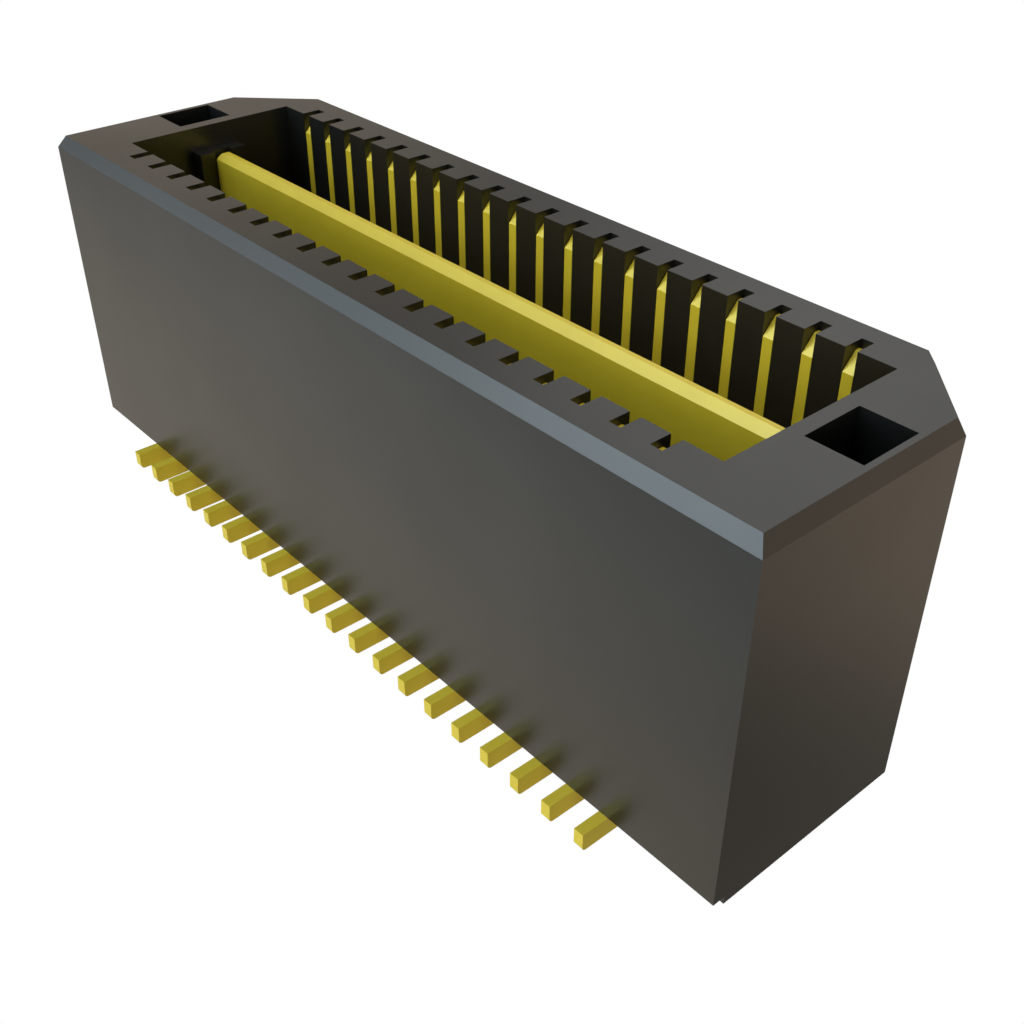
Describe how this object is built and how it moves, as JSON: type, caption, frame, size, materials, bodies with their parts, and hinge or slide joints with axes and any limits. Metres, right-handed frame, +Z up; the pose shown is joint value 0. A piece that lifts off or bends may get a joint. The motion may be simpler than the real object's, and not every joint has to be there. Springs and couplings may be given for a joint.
{
  "type": "board to board connector",
  "caption": "Vertical board to board socket: black moulded housing with a long open cavity, two rows of gold plated contacts with solder tails, and a gold ground blade.",
  "frame": {"origin": "on the board, under the middle of the connector, in the plane of the solder tails' undersides", "axes": "+Z up, out of the mating cavity; +X along the contact rows; +Y to the side with the cut corners"},
  "size_m": [0.02, 0.0072, 0.0073],
  "materials": {
    "black_plastic": "semi-gloss moulded, charcoal black",
    "gold_plate": "gold plated, satin"
  },
  "bodies": {
    "root": {"housing": "black_plastic", "ground_blade": "gold_plate", "contact_front_01": "gold_plate", "contact_front_02": "gold_plate", "contact_front_03": "gold_plate", "contact_front_04": "gold_plate", "contact_front_05": "gold_plate", "contact_front_06": "gold_plate", "contact_front_07": "gold_plate", "contact_front_08": "gold_plate", "contact_front_09": "gold_plate", "contact_front_10": "gold_plate", "contact_front_11": "gold_plate", "contact_front_12": "gold_plate", "contact_front_13": "gold_plate", "contact_front_14": "gold_plate", "contact_front_15": "gold_plate", "contact_front_16": "gold_plate", "contact_front_17": "gold_plate", "contact_front_18": "gold_plate", "contact_front_19": "gold_plate", "contact_front_20": "gold_plate", "contact_back_01": "gold_plate", "contact_back_02": "gold_plate", "contact_back_03": "gold_plate", "contact_back_04": "gold_plate", "contact_back_05": "gold_plate", "contact_back_06": "gold_plate", "contact_back_07": "gold_plate", "contact_back_08": "gold_plate", "contact_back_09": "gold_plate", "contact_back_10": "gold_plate", "contact_back_11": "gold_plate", "contact_back_12": "gold_plate", "contact_back_13": "gold_plate", "contact_back_14": "gold_plate", "contact_back_15": "gold_plate", "contact_back_16": "gold_plate", "contact_back_17": "gold_plate", "contact_back_18": "gold_plate", "contact_back_19": "gold_plate", "contact_back_20": "gold_plate"}
  },
  "joints": []
}
